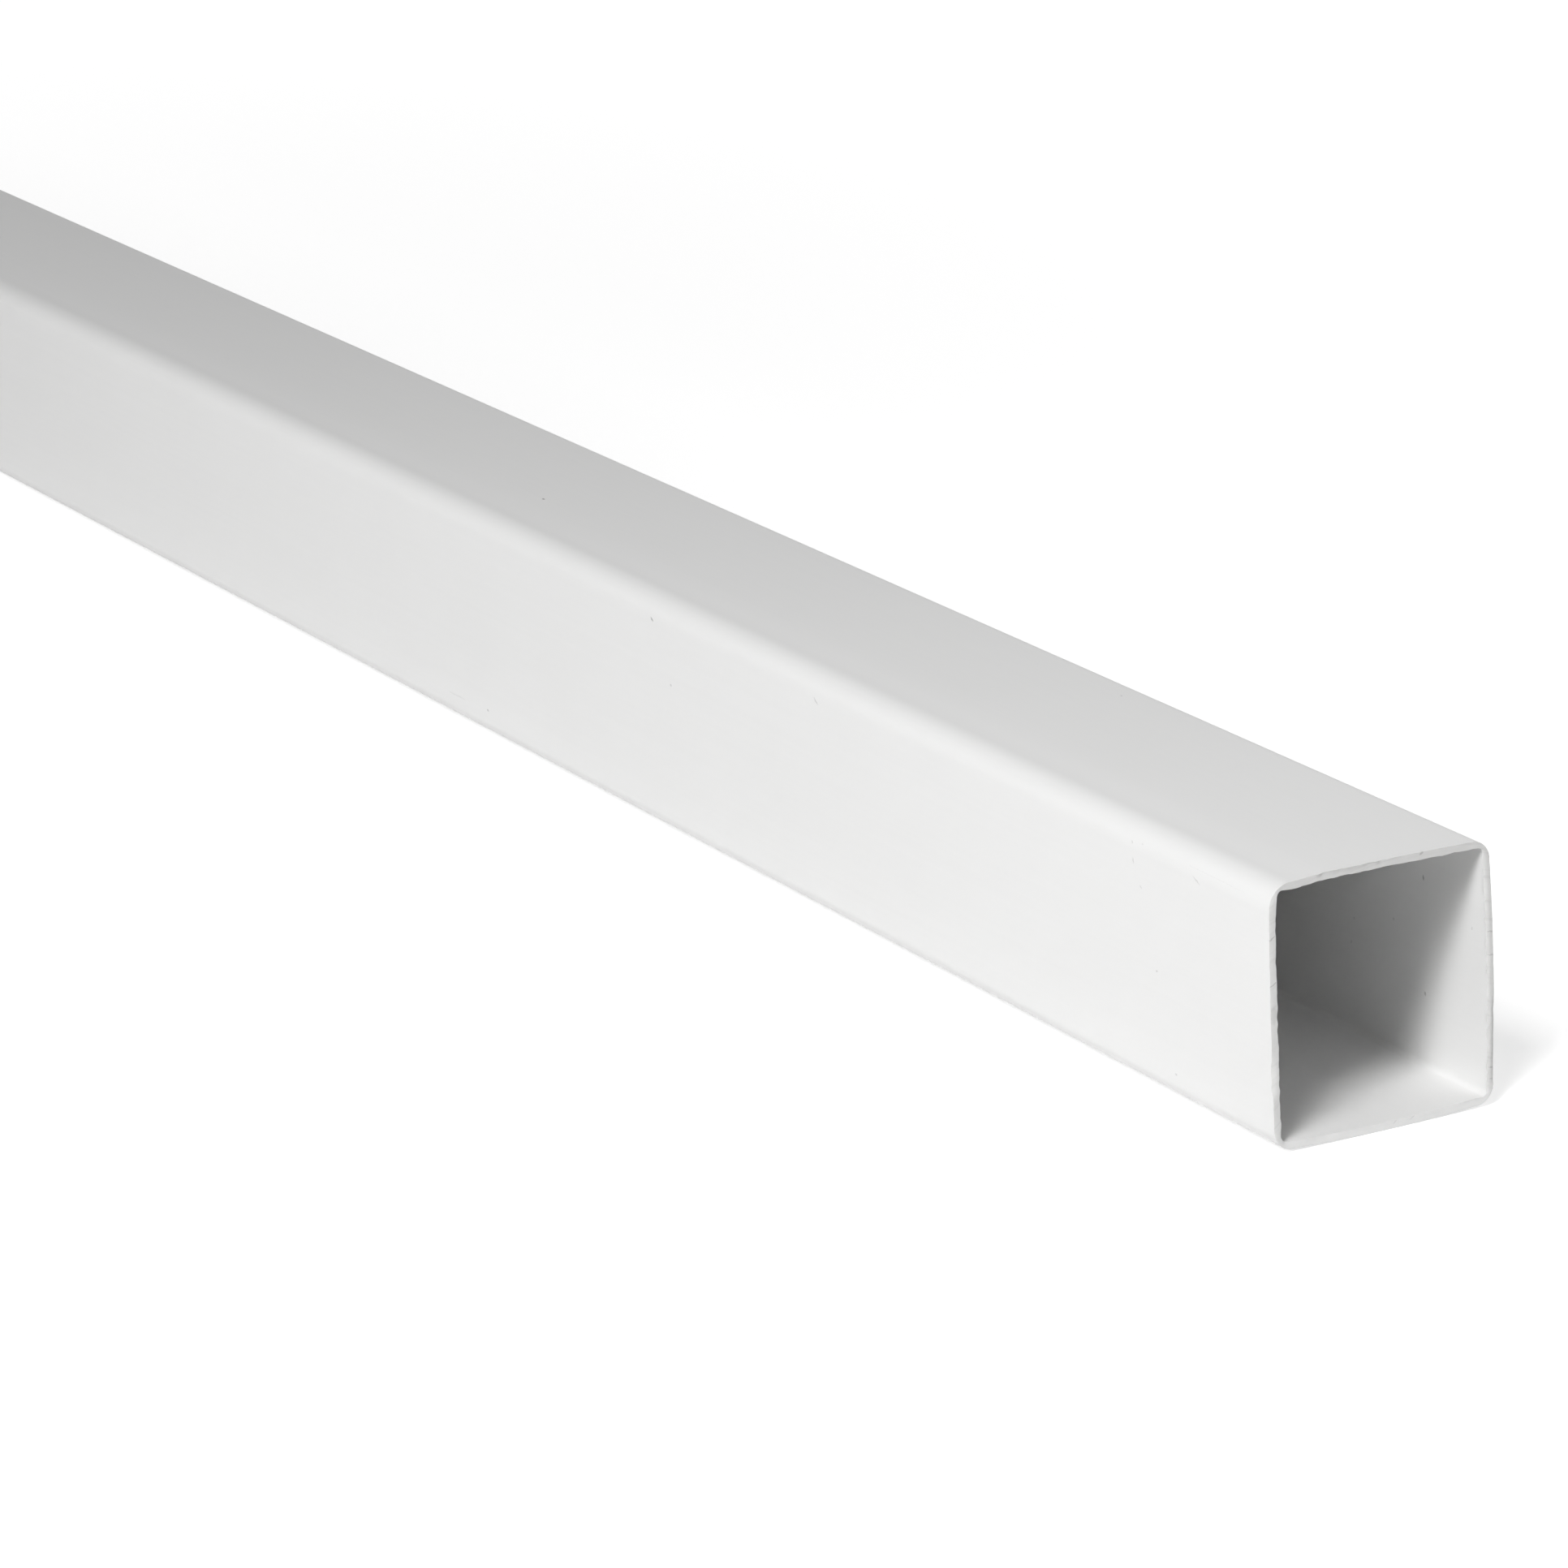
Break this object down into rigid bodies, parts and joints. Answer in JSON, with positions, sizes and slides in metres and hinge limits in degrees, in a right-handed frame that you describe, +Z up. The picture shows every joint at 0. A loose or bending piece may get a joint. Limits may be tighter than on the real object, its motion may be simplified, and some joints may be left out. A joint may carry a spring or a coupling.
{
  "type": "pvc square tube",
  "caption": "Straight length of thin-walled square PVC tube with rounded long edges, slightly bowed walls and a saw-cut open end.",
  "frame": {"origin": "on the underside, at the middle of the length and of the width", "axes": "+X along the tube towards its saw-cut end, +Y towards the back wall, +Z up"},
  "size_m": [1, 0.04, 0.04],
  "materials": {
    "white_pvc": "satin white extruded PVC, with a rougher sawn end"
  },
  "bodies": {
    "root": {"square_tube": "white_pvc"}
  },
  "joints": []
}
